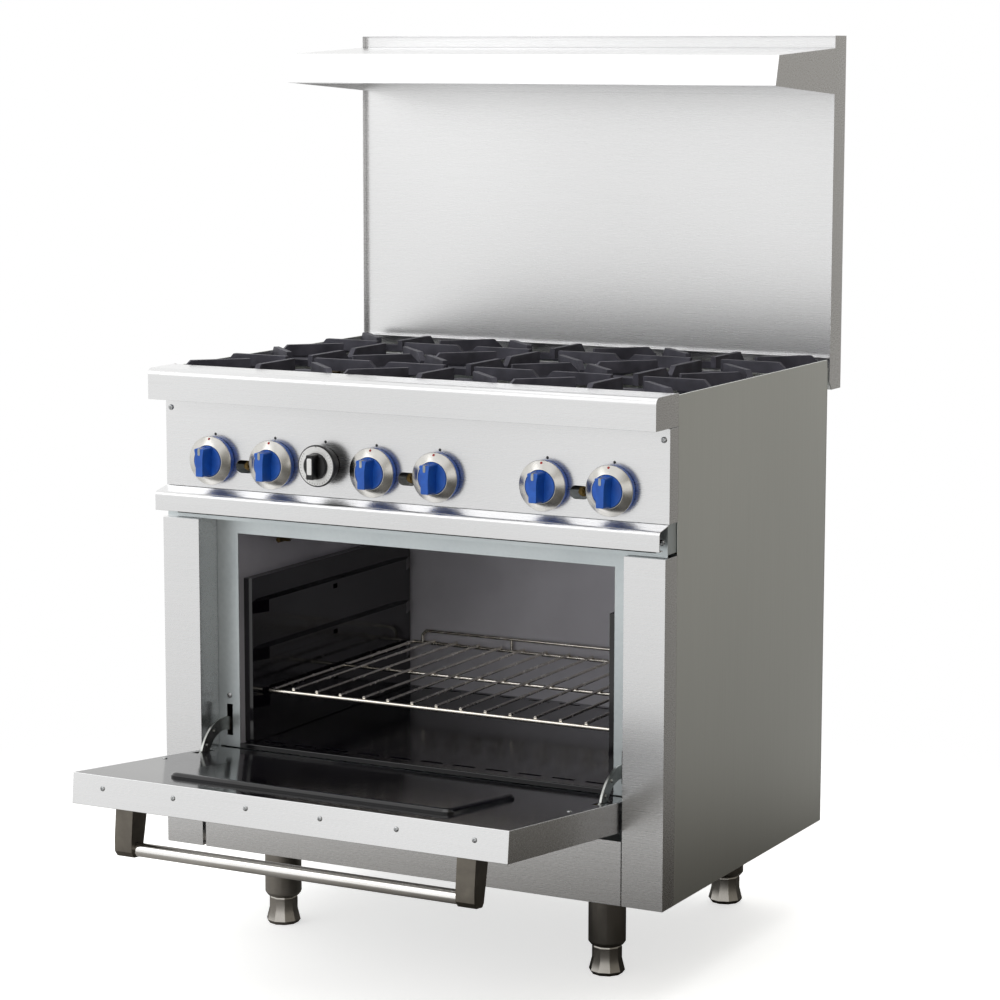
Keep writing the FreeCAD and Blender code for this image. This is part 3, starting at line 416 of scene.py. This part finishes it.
def repeated(name, shapeObject, places, normals, material, body,
             size=1.0, spread=0.0, seed=1, turns=None):
    tree, sizeSocket, spreadSocket = repeatTree(name + " tree", shapeObject, material, seed)
    carrier = bpy.data.objects.new(name + "Points", pointsMesh(name, places, normals, turns))
    bpy.context.collection.objects.link(carrier)
    carrier.data.materials.append(material)
    modifier = carrier.modifiers.new("copies", "NODES")
    modifier.node_group = tree
    modifier[sizeSocket] = size
    modifier[spreadSocket] = spread
    bpy.context.view_layer.update()
    ready = carrier.evaluated_get(bpy.context.evaluated_depsgraph_get())
    mesh = bpy.data.meshes.new_from_object(ready)
    bpy.data.objects.remove(carrier)
    return meshObject(name, mesh, material, body)


def template(name, work):
    mesh = bpy.data.meshes.new(name)
    work.to_mesh(mesh)
    work.free()
    smoothByAngle(mesh, 40)
    shape = bpy.data.objects.new(name, mesh)   # never linked to the scene, so it isn't shown
    return shape


# screws

screwLook = {"radius": 4.4, "height": 2.3, "slotLength": 4.6, "slotWidth": 0.95, "slotDepth": 1.1,
             "sides": 28, "panelSize": 1.1, "doorSize": 0.95, "turnSpread": 3.0, "seed": 7}


def screwHead(look):
    # pan head with a cross recess, standing on z = 0
    work = bmesh.new()
    outline = [(1.0, 0.0), (1.0, 0.35), (0.93, 0.62), (0.78, 0.84), (0.55, 0.96), (0.0, 1.0)]
    sides = look["sides"]
    rings = []
    for part, high in outline[:-1]:
        ring = []
        for k in range(sides):
            turn = 2 * math.pi * k / sides
            r = look["radius"] * part * mm
            ring.append(work.verts.new((r * math.cos(turn), r * math.sin(turn), look["height"] * high * mm)))
        rings.append(ring)
    for low, high in zip(rings[:-1], rings[1:]):
        for k in range(sides):
            work.faces.new((low[k], low[(k + 1) % sides], high[(k + 1) % sides], high[k]))
    # the crown carries the cross: a plus-shaped hole walked round and sunk
    w, l = look["slotWidth"] / 2 * mm, look["slotLength"] / 2 * mm
    plus = [(w, l), (-w, l), (-w, w), (-l, w), (-l, -w), (-w, -w),
            (-w, -l), (w, -l), (w, -w), (l, -w), (l, w), (w, w)]
    z = look["height"] * 0.985 * mm
    lip = [work.verts.new((x, y, z)) for x, y in plus]
    floor = [work.verts.new((x * 0.8, y * 0.8, z - look["slotDepth"] * mm)) for x, y in plus]
    for k in range(len(plus)):
        n = (k + 1) % len(plus)
        work.faces.new((lip[n], lip[k], floor[k], floor[n]))
    work.faces.new(floor)
    crown = rings[-1]
    edges = [e for e in work.edges if len(e.link_faces) == 1
             and (all(v in crown for v in e.verts) or all(v in lip for v in e.verts))]
    bmesh.ops.triangle_fill(work, use_beauty=True, use_dissolve=False, edges=edges)
    work.faces.new(list(reversed(rings[0])))
    bmesh.ops.recalc_face_normals(work, faces=work.faces)
    return work


screw = template("screwHeadShape", screwHead(screwLook))


def solidBoxes(nodeName):
    # boxes of the separate solids in a part: (centre, size)
    work = bmesh.new()
    work.from_mesh(nodes[nodeName].data)
    bmesh.ops.remove_doubles(work, verts=work.verts, dist=0.00001)
    seen = set()
    found = []
    for start in work.verts:
        if start.index in seen:
            continue
        group = [start]
        seen.add(start.index)
        for vert in group:
            for edge in vert.link_edges:
                other = edge.other_vert(vert)
                if other.index not in seen:
                    seen.add(other.index)
                    group.append(other)
        low = Vector((min(v.co[i] for v in group) for i in range(3)))
        high = Vector((max(v.co[i] for v in group) for i in range(3)))
        found.append(((low + high) / 2, high - low))
    work.free()
    return found


def screwsFor(nodeName, body, facingOf, size):
    # same places as the part's plain heads, each set on its sheet and no higher than the plain one
    places, normals = [], []
    high = screwLook["height"] * size * mm
    for centre, extent in solidBoxes(nodeName):
        facing = facingOf(centre)
        half = min(extent) / 2
        places.append(centre - facing * max(half, high - half))
        normals.append(facing)
    piece = repeated(nodeName + "Cross", screw, places, normals, finish["screw_steel"], body,
                     size, screwLook["turnSpread"], screwLook["seed"])
    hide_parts(nodeName)


doorJoint = next(j for j in frame["joints"] if j["name"] == "door_hinge")
doorAngle = math.radians(-doorJoint["range_deg"][0])     # how far the stored door is open
doorTurn = Matrix.Rotation(doorAngle, 3, "X")
edgeWay = doorTurn @ Vector((0, 0, 1))                    # shut door's top edge
innerWay = doorTurn @ Vector((0, 1, 0))                   # shut door's oven side
front = Vector((0, -1, 0))

screwsFor("panel_screws", "range_body", lambda centre: front, screwLook["panelSize"])
screwsFor("door_screws", "oven_door",         # the outermost two hold the liner, the rest the edge
          lambda centre: innerWay if abs(centre.x) > 0.36 else edgeWay, screwLook["doorSize"])
print("screws done")


# burner knobs

# radii and widths in mm; names that end in Out or Front are depths from the panel's face
knobLook = {"rim": 40.0, "rimOut": 14.6, "mouth": 25.8, "mouthOut": 22.0, "skirt": 38.4, "discOut": 23.2,
            "gripWide": 20.0, "gripWaist": 14.7, "gripLong": 47.0, "gripFront": 48.0, "dotRadius": 2.3,
            "dotAlong": 0.28, "insertWide": 4.8, "insertLong": 12.0}


def centreOf(nodeName):
    low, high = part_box(nodeName)
    low, high = Vector(low), Vector(high)
    return (low + high) / 2


def shaped(name, work, material, body):
    mesh = bpy.data.meshes.new(name)
    work.to_mesh(mesh)
    work.free()
    smoothByAngle(mesh, 35)
    solid = roundedMesh(mesh, 0.0)
    solid.name = name
    return meshObject(name, solid, material, body)


def gripOutline(long, topWide, waistWide, lowWide):
    # outline of a finger grip: wide at its top end, slim in the middle, rounded corners
    half = long / 2
    corner = 2.4
    steps = 12
    arc = [math.pi / 2 * k / 6 for k in range(1, 6)]
    rightSide = []
    for k in range(steps + 1):
        part = k / steps
        high = -half + corner + (long - 2 * corner) * part
        ease = abs(2 * part - 1) ** 2
        target = topWide if part > 0.5 else lowWide
        rightSide.append((waistWide / 2 + (target - waistWide) / 2 * ease, high))
    topArc = [(topWide / 2 - corner + corner * math.cos(a), half - corner + corner * math.sin(a)) for a in arc]
    lowArc = [(lowWide / 2 - corner + corner * math.sin(a), -half + corner - corner * math.cos(a)) for a in arc]
    right = lowArc + rightSide + topArc
    return right + [(-x, z) for x, z in reversed(right)]


def gripBlock(centre, low, high, outline, shrink):
    # the outline carried from one depth to another, a little smaller and rounded at the front
    work = bmesh.new()
    levels = [(low, 1.08), (low + (high - low) * 0.35, 1.0), (high - 2.0, shrink + 0.03),
              (high - 0.8, shrink), (high - 0.2, shrink - 0.04), (high, shrink - 0.09)]
    rings = []
    for out, scale in levels:
        squeeze = 1 - (1 - scale) * 0.35
        rings.append([work.verts.new(centre + Vector((x * scale, -out, z * squeeze)) * mm) for x, z in outline])
    count = len(outline)
    for a, b in zip(rings[:-1], rings[1:]):
        for k in range(count):
            work.faces.new((a[k], a[(k + 1) % count], b[(k + 1) % count], b[k]))
    work.faces.new(rings[0])
    work.faces.new(list(reversed(rings[-1])))
    bmesh.ops.recalc_face_normals(work, faces=work.faces)
    return work


def markRings(piece, centre):
    # the direction along the lathe's rings, for the spoke-like highlights
    around = piece.data.attributes.new("around", "FLOAT_VECTOR", "POINT")
    for vert in piece.data.vertices:
        away = vert.co - centre
        way = Vector((-away.z, 0, away.x))
        around.data[vert.index].vector = way.normalized() if way.length > 0 else Vector((1, 0, 0))


def burnerKnob(number, look):
    body = "burner_knob_%d" % number
    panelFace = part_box("control_panel")[0][1]
    middle = centreOf("knob_bezel_%d" % number)
    centre = Vector((middle.x, panelFace, middle.z))
    rim, mouth = look["rim"], look["mouth"]
    rimOut, mouthOut = look["rimOut"], look["mouthOut"]
    cone = spun([(mouth, rimOut - 0.6), (rim - 1.6, rimOut - 1.8), (rim - 0.4, rimOut - 1.6),
                 (rim, rimOut - 0.9), (rim, rimOut), (rim - 0.5, rimOut + 0.7), (mouth + 1.4, mouthOut - 0.1),
                 (mouth + 0.5, mouthOut), (mouth, mouthOut - 0.5)], centre)
    bezel = shaped("bezel_%d" % number, cone, finish["satin_bezel"], body)
    markRings(bezel, centre)
    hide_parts("knob_bezel_%d" % number)
    skirt = look["skirt"]
    cup = spun([(0.0, 1.2), (skirt - 1.6, 1.2), (skirt - 0.2, 2.0), (skirt, 3.2), (skirt, rimOut - 2.5),
                (0.0, rimOut - 2.5)], centre)
    shaped("knobSkirt_%d" % number, cup, finish["blue_plastic"], body)
    discOut = look["discOut"]
    disc = spun([(0.0, rimOut - 0.1), (mouth - 0.4, rimOut - 0.1), (mouth - 0.4, discOut - 1.8),
                 (mouth - 1.0, discOut - 0.6), (mouth - 2.4, discOut), (0.0, discOut)], centre)
    plate = shaped("knobDisc_%d" % number, disc, finish["blue_plastic"], body)
    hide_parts("knob_%d" % number)
    outline = gripOutline(look["gripLong"], look["gripWide"], look["gripWaist"], look["gripWaist"])
    bar = gripBlock(centre, mouthOut - 1.0, look["gripFront"] - 0.4, outline, 0.92)
    shaped("knobGrip_%d" % number, bar, finish["blue_plastic"], body)
    insert = gripOutline(look["insertLong"], look["insertWide"], look["insertWide"], look["insertWide"])
    high = look["gripLong"] / 2 - look["insertLong"] / 2 + 0.2
    pointer = gripBlock(centre + Vector((0, 0, high)) * mm, look["gripFront"] - 8.0, look["gripFront"],
                        insert, 1.0)
    shaped("knobPointer_%d" % number, pointer, finish["hinge_steel"], body)
    slope = Vector((0, -(rim - mouth), mouthOut - rimOut)).normalized()
    along = look["dotAlong"]      # how far up the cone the red dot lies
    dotOut = rimOut + (mouthOut - rimOut) * along + 0.35
    dotCentre = centre + Vector((0, -dotOut, rim - (rim - mouth) * along)) * mm
    dot = dotShape(dotCentre, slope, look["dotRadius"])
    shaped("knobDot_%d" % number, dot, redPaint, body)


def dotShape(centre, facing, radius):
    # printed dot: a low dome lying on its surface
    sides = 24
    work = bmesh.new()
    aim = facing.to_track_quat("Z", "Y").to_matrix()
    rings = []
    for part, high in ((1.0, 0.0), (0.92, 0.16), (0.6, 0.24)):
        ring = []
        for k in range(sides):
            turn = 2 * math.pi * k / sides
            spot = Vector((radius * part * math.cos(turn), radius * part * math.sin(turn), high))
            ring.append(work.verts.new(centre + aim @ spot * mm))
        rings.append(ring)
    for a, b in zip(rings[:-1], rings[1:]):
        for k in range(sides):
            work.faces.new((a[k], a[(k + 1) % sides], b[(k + 1) % sides], b[k]))
    work.faces.new(rings[-1])
    work.faces.new(list(reversed(rings[0])))
    bmesh.ops.recalc_face_normals(work, faces=work.faces)
    return work


for number in range(1, 7):
    burnerKnob(number, knobLook)
print("burner knobs done")


# oven thermostat

dialLook = {"ticks": 28, "tickLong": 2.2, "tickWide": 0.5, "tickRadius": 29.0, "firstTick": 50, "lastTick": 310,
            "radius": 34.0, "neck": 28.0, "faceOut": 27.3, "hub": 21.0, "hubSides": 72,
            "gripWide": 13.2, "gripLong": 40.0, "gripFront": 48.0, "insertWide": 9.2, "insertLong": 27.0}


def tickShape(look):
    # one printed mark, thinner at its front
    work = bmesh.new()
    wide, long, high = look["tickWide"] / 2 * mm, look["tickLong"] / 2 * mm, 0.2 * mm
    corners = ((-1, -1), (1, -1), (1, 1), (-1, 1))
    low = [work.verts.new((x * wide, y * long, 0)) for x, y in corners]
    top = [work.verts.new((x * wide * 0.7, y * long * 0.9, high)) for x, y in corners]
    for k in range(4):
        work.faces.new((low[k], low[(k + 1) % 4], top[(k + 1) % 4], top[k]))
    work.faces.new(top)
    work.faces.new(list(reversed(low)))
    return work


def thermostat(look):
    body = "oven_thermostat"
    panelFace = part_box("control_panel")[0][1]
    middle = centreOf("thermostat_dial")
    centre = Vector((middle.x, panelFace, middle.z))
    r, out, hub, neck = look["radius"], look["faceOut"], look["hub"], look["neck"]
    skirt = spun([(0.0, 2.0), (neck, 2.0), (neck, out - 7.4), (r - 1.0, out - 6.2), (r, out - 5.2),
                  (r, out - 2.2), (r - 0.3, out - 1.4), (r - 1.0, out - 1.2), (0.0, out - 1.2)], centre)
    base = shaped("dialSkirt", skirt, finish["black_plastic"], body)
    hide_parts("thermostat_dial")
    band = spun([(hub + 0.3, out - 1.3), (r - 2.2, out - 1.3), (r - 2.2, out - 0.4), (r - 2.6, out),
                 (hub + 0.7, out), (hub + 0.3, out - 0.4)], centre)
    shaped("dialBand", band, finish["dial_ring"], body)
    disc = spun([(0.0, out - 1.0), (hub, out - 1.0), (hub, out + 3.6), (hub - 0.9, out + 5.0),
                 (hub - 2.4, out + 5.6), (0.0, out + 5.6)], centre, look["hubSides"])
    cover = shaped("dialHub", disc, finish["black_plastic"], body)
    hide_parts("thermostat_knob")
    outline = gripOutline(look["gripLong"], look["gripWide"], look["gripWide"] * 0.97, look["gripWide"])
    bar = gripBlock(centre, out + 4.0, look["gripFront"] - 0.3, outline, 0.96)
    shaped("dialGrip", bar, finish["black_plastic"], body)
    insert = gripOutline(look["insertLong"], look["insertWide"], look["insertWide"], look["insertWide"])
    pointer = gripBlock(centre + Vector((0, 0, 1.5)) * mm, look["gripFront"] - 2.0, look["gripFront"],
                        insert, 1.0)
    shaped("dialPointer", pointer, finish["dial_ring"], body)
    places, turns = [], []
    sweep = look["lastTick"] - look["firstTick"]
    for k in range(look["ticks"]):
        turn = math.radians(look["firstTick"] + sweep * k / (look["ticks"] - 1))
        spot = Vector((math.sin(turn) * look["tickRadius"], -out, math.cos(turn) * look["tickRadius"]))
        places.append(centre + spot * mm)
        turns.append(-turn)
    for turn in (0.0, math.pi):   # the two deeper marks, top and bottom
        for side in (-0.5, 0.0, 0.5):
            spot = Vector((side, -out, math.cos(turn) * (r - 2.4)))
            places.append(centre + spot * mm)
            turns.append(-turn)
    tick = template("dialTickShape", tickShape(look))
    repeated("dialTicks", tick, places, [front] * len(places), blackPaint, body, turns=turns)


thermostat(dialLook)

markLook = {"radius": 2.4, "above": 42.5, "right": 2.0}
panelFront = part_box("control_panel")[0][1]
marked = [centreOf("knob_bezel_%d" % k) for k in range(1, 7)] + [centreOf("thermostat_dial")]
markHigh = marked[0].z + markLook["above"] * mm
dot = template("panelDotShape", dotShape(Vector((0, 0, 0)), Vector((0, 0, 1)), markLook["radius"]))
markPlaces = [Vector((m.x + markLook["right"] * mm, panelFront, markHigh)) for m in marked]
repeated("panelMarks", dot, markPlaces, [front] * len(marked), blackPaint, "range_body")
print("thermostat and panel marks done")


# castings and folded pieces with rounded edges

# widths of the rounded edges in mm
roundedEdges = {"grate": 1.5, "sheet": 0.55, "door": 1.3, "bracket": 2.4, "leg": 1.0, "small": 0.5,
                "doorCrown": 3.0}
rangeSheets = ("kick_panel", "control_panel", "shelf", "riser_shell", "front_post_left", "front_post_right",
               "side_panel_left", "side_panel_right", "front_rail", "oven_front_frame", "grate_rails")
edgedPieces = [("grate_%d" % k, "top_grate_%d" % k, "grate") for k in range(1, 7)]
edgedPieces += [("foot_%d" % k, "levelling_foot_%d" % k, "small") for k in range(1, 5)]
edgedPieces += [(name, "range_body", "sheet") for name in rangeSheets]
edgedPieces += [("handle_brackets", "oven_door", "bracket"), ("door_outer", "oven_door", "door"),
               ("door_liner", "oven_door", "small"), ("hinge_arms", "oven_door", "small"),
               ("handle_bar", "oven_door", "leg"), ("crumb_tray", "crumb_tray", "small"),
               ("legs", "range_body", "leg")]
for nodeName, body, kind in edgedPieces:
    crown = (innerWay, roundedEdges["doorCrown"] * mm) if nodeName == "door_liner" else None
    mesh = softened(nodeName, roundedEdges[kind] * mm, crown)
    # the handle bar takes its lighter copy of the polished steel: painted highlight
    skin = "polished_bar_painted_light" if nodeName == "handle_bar" else slotOf[nodeName]
    piece = meshObject(nodeName + "Soft", mesh, finish[skin], body)
    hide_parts(nodeName)
print("edges rounded")


# floor, light and camera

# sizes and places in metres, powers in watts; the side, low and lit spans are parts of a unit direction
# the two mirrored floor colours are painted shade: the floor as the metal reflects it, greyer on the lit left and
# dark on the shaded right
setLook = {"floorRadius": 1.75, "floorLight": "#F7F7F6", "floorDark": "#ECECEA", "floorSeen": 0.62,
           "floorShadeMirrorLeft": "#9A9793", "floorShadeMirrorRight": "#3E3B37", "bright": 1.04,
           "darkTint": (0.30, 0.285, 0.255), "sideFrom": 0.06, "sideTo": 0.44, "lowFrom": -0.30, "lowTo": 0.04,
           "lowBright": 0.75, "lowDim": 0.28}
lampLook = {"keyLight": {"place": (-2.6, -3.4, 2.9), "aim": (0, 0, 0.7), "wide": 2.4, "high": 2.0, "power": 18},
            "topLight": {"place": (0.2, -0.6, 4.2), "aim": (0, 0, 0.6), "wide": 3.0, "high": 3.0, "power": 22},
            "fillLight": {"place": (2.8, -4.2, 1.4), "aim": (0, 0, 0.6), "wide": 2.0, "high": 2.0, "power": 10}}


def studio(look):
    # pale round floor that fades out at its edge
    work = bmesh.new()
    bmesh.ops.create_circle(work, cap_ends=True, radius=look["floorRadius"], segments=96)
    mesh = bpy.data.meshes.new("studioFloor")
    work.to_mesh(mesh)
    work.free()
    floor = bpy.data.objects.new("studioFloor", mesh)
    bpy.context.collection.objects.link(floor)
    material, tree, shader, where = newMaterial("pale floor paint")
    cloud = addNode(tree, "ShaderNodeTexNoise", {"Scale": 1.2, "Detail": 2.0}, {"Vector": where})
    colour = colourSteps(tree, cloud.outputs["Fac"], [(0.3, look["floorDark"]), (0.7, look["floorLight"])])
    ray = tree.nodes.new("ShaderNodeLightPath")
    # seen straight it is pale; in the metal's reflections it carries painted shade: a grey floor that darkens
    # towards the right, where less light falls
    shade = addNode(tree, "ShaderNodeMix", {"data_type": "RGBA"})
    tree.links.new(ray.outputs["Is Camera Ray"], shade.inputs[0])
    across = addNode(tree, "ShaderNodeSeparateXYZ", None, {0: where})
    dim = addNode(tree, "ShaderNodeMapRange", {"From Min": -0.3, "From Max": 0.5},
                  {"Value": across.outputs["X"]})
    # painted shade: mid grey on the left to dark on the right, seen only in reflections
    seen = colourSteps(tree, dim.outputs["Result"], [(0.0, look["floorShadeMirrorLeft"]), (1.0, look["floorShadeMirrorRight"])])
    tree.links.new(seen, shade.inputs[6])
    tree.links.new(colour, shade.inputs[7])
    tree.links.new(shade.outputs[2], shader.inputs["Base Color"])
    glow = addNode(tree, "ShaderNodeMath", {"operation": "MULTIPLY", 1: look["floorSeen"]},
                   {0: ray.outputs["Is Camera Ray"]})
    shader.inputs["Emission Color"].default_value = (1, 1, 1, 1)
    tree.links.new(glow.outputs[0], shader.inputs["Emission Strength"])
    away = addNode(tree, "ShaderNodeVectorMath", {"operation": "LENGTH"}, {0: where})
    fade = addNode(tree, "ShaderNodeMapRange", {"From Min": look["floorRadius"] * 0.45,
                   "From Max": look["floorRadius"] * 0.98, "To Min": 1.0, "To Max": 0.0,
                   "interpolation_type": "SMOOTHSTEP"}, {"Value": away.outputs["Value"]})
    tree.links.new(fade.outputs["Result"], shader.inputs["Alpha"])
    shader.inputs["Roughness"].default_value = 0.85
    shader.inputs["Specular IOR Level"].default_value = 0.1
    floor.data.materials.append(material)

    world = bpy.data.worlds.new("studioSky")
    world.use_nodes = True
    tree = world.node_tree
    tree.nodes.clear()
    output = tree.nodes.new("ShaderNodeOutputWorld")
    where = addNode(tree, "ShaderNodeTexCoord")
    axes = addNode(tree, "ShaderNodeSeparateXYZ", None, {0: where.outputs["Object"]})
    # bright in front and to the left, dim and warm to the right, where the side panel looks
    side = addNode(tree, "ShaderNodeMapRange", {"From Min": look["sideFrom"], "From Max": look["sideTo"],
                   "interpolation_type": "SMOOTHSTEP"}, {"Value": axes.outputs["X"]})
    deep = addNode(tree, "ShaderNodeMapRange", {"To Min": look["lowBright"], "To Max": look["lowDim"]},
                   {"Value": side.outputs["Result"]})
    low = addNode(tree, "ShaderNodeMapRange", {"From Min": look["lowFrom"], "From Max": look["lowTo"]},
                  {"Value": axes.outputs["Z"], "To Min": deep.outputs["Result"]})
    tint = addNode(tree, "ShaderNodeMix", {"data_type": "RGBA"})
    tree.links.new(side.outputs["Result"], tint.inputs[0])
    tint.inputs[6].default_value = (look["bright"], look["bright"], look["bright"] * 0.99, 1)
    tint.inputs[7].default_value = look["darkTint"] + (1,)
    shade = addNode(tree, "ShaderNodeBackground", None,
                    {"Color": tint.outputs[2], "Strength": low.outputs["Result"]})
    white = addNode(tree, "ShaderNodeBackground", {"Color": (1, 1, 1, 1), "Strength": 1.0})
    ray = tree.nodes.new("ShaderNodeLightPath")
    mix = addNode(tree, "ShaderNodeMixShader", None,
                  {0: ray.outputs["Is Camera Ray"], 1: shade.outputs[0], 2: white.outputs[0]})
    tree.links.new(mix.outputs[0], output.inputs["Surface"])
    bpy.context.scene.world = world


def softLight(name, look):
    data = bpy.data.lights.new(name, "AREA")
    data.shape = "RECTANGLE"
    data.size, data.size_y = look["wide"], look["high"]
    data.energy = look["power"]
    lamp = bpy.data.objects.new(name, data)
    lamp.location = look["place"]
    lamp.rotation_mode = "QUATERNION"
    lamp.rotation_quaternion = (Vector(look["aim"]) - Vector(look["place"])).to_track_quat("-Z", "Y")
    bpy.context.collection.objects.link(lamp)


studio(setLook)
for name, look in lampLook.items():
    softLight(name, look)

# place in metres, angles in degrees, lens in mm on a 36 mm sensor
cameraLook = {"place": (2.3655, -4.29693, 1.4656), "turn": 27.97, "down": 8.43, "roll": -0.07, "lens": 109.49}


def viewpoint(look):
    data = bpy.data.cameras.new("productCamera")
    data.sensor_width = 36.0
    data.lens = look["lens"]
    data.clip_end = 100
    camera = bpy.data.objects.new("productCamera", data)
    camera.location = look["place"]
    tilt = (90 - look["down"], look["roll"], look["turn"])
    camera.rotation_euler = Euler([math.radians(angle) for angle in tilt], "XYZ")
    bpy.context.collection.objects.link(camera)
    bpy.context.scene.camera = camera


viewpoint(cameraLook)
bpy.context.scene.view_settings.view_transform = "Standard"

print("finished")
